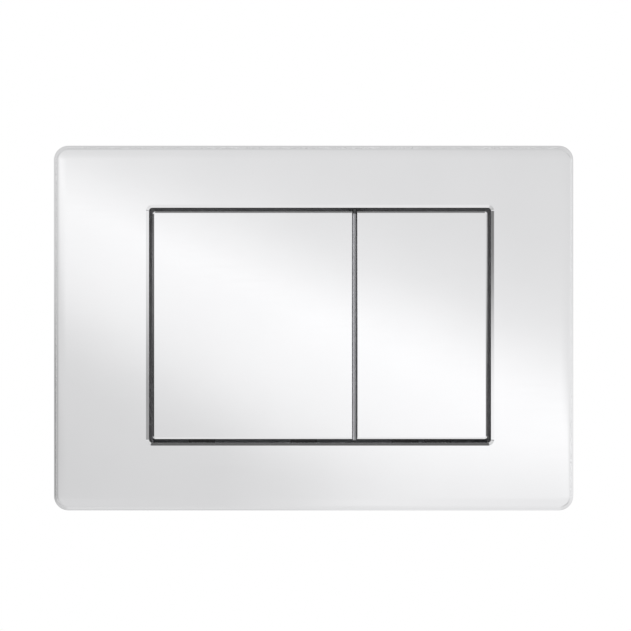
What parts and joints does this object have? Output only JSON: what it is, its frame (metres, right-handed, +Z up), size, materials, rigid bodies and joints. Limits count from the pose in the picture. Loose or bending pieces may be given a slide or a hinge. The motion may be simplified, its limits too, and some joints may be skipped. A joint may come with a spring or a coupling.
{
  "type": "flush button plate",
  "caption": "Rectangular chrome flush plate with a wide and a narrow tilting push button, wall frame, sprung push rods and fixing studs for a concealed cistern.",
  "frame": {"origin": "centre of the plate's outline on the wall plane, midway between the two fixing studs", "axes": "+X to the right along the plate's width, +Y into the wall along the studs and push rods, +Z up; the plate faces -Y"},
  "size_m": [0.235, 0.081, 0.165],
  "materials": {
    "chrome_plating": "bright chrome plating on moulded plastic",
    "carrier_plastic": "grey moulded plastic",
    "frame_plastic": "mid grey moulded plastic",
    "nut_plastic": "black moulded plastic",
    "rod_plastic": "natural white turned plastic",
    "pad_rubber": "black rubber",
    "pin_steel": "drawn stainless steel",
    "spring_steel": "drawn spring steel",
    "zinc_steel": "zinc-plated steel"
  },
  "bodies": {
    "plate": {"fascia": "chrome_plating", "button_carrier": "carrier_plastic", "carrier_screws": "zinc_steel", "full_hinge_pin": "pin_steel", "half_hinge_pin": "pin_steel", "mounting_frame": "frame_plastic", "fixing_stud_left": "zinc_steel", "fixing_stud_right": "zinc_steel", "thumb_nut_left": "nut_plastic", "thumb_nut_right": "nut_plastic", "full_return_spring": "spring_steel", "half_return_spring": "spring_steel"},
    "full_button": {"full_flush_button": "chrome_plating", "full_stop_pads": "pad_rubber"},
    "half_button": {"half_flush_button": "chrome_plating", "half_stop_pads": "pad_rubber"},
    "full_rod": {"full_push_rod": "rod_plastic", "full_rod_head": "rod_plastic", "full_rod_lock_nut": "zinc_steel"},
    "half_rod": {"half_push_rod": "rod_plastic", "half_rod_head": "rod_plastic", "half_rod_lock_nut": "zinc_steel"}
  },
  "joints": [
    {"name": "full_button_tilt", "type": "hinge", "parent": "plate", "child": "full_button", "pos_m": [-0.0276, -0.004, 0.0463], "axis": [1, 0, 0], "range_deg": [0, 5], "stiffness_Nm_per_rad": 2, "springref_deg": -5.16},
    {"name": "half_button_tilt", "type": "hinge", "parent": "plate", "child": "half_button", "pos_m": [0.04915, -0.004, 0.0463], "axis": [1, 0, 0], "range_deg": [0, 5], "stiffness_Nm_per_rad": 2, "springref_deg": -5.16},
    {"name": "full_rod_slide", "type": "slide", "parent": "plate", "child": "full_rod", "axis": [0, 1, 0], "range_m": [0, 0.0053], "deforming": ["full_return_spring"]},
    {"name": "half_rod_slide", "type": "slide", "parent": "plate", "child": "half_rod", "axis": [0, 1, 0], "range_m": [0, 0.0053], "deforming": ["half_return_spring"]}
  ],
  "couplings": [
    {"joint": "full_rod_slide", "follows": "full_button_tilt", "m_per_rad": 0.0603},
    {"joint": "half_rod_slide", "follows": "half_button_tilt", "m_per_rad": 0.0603}
  ]
}
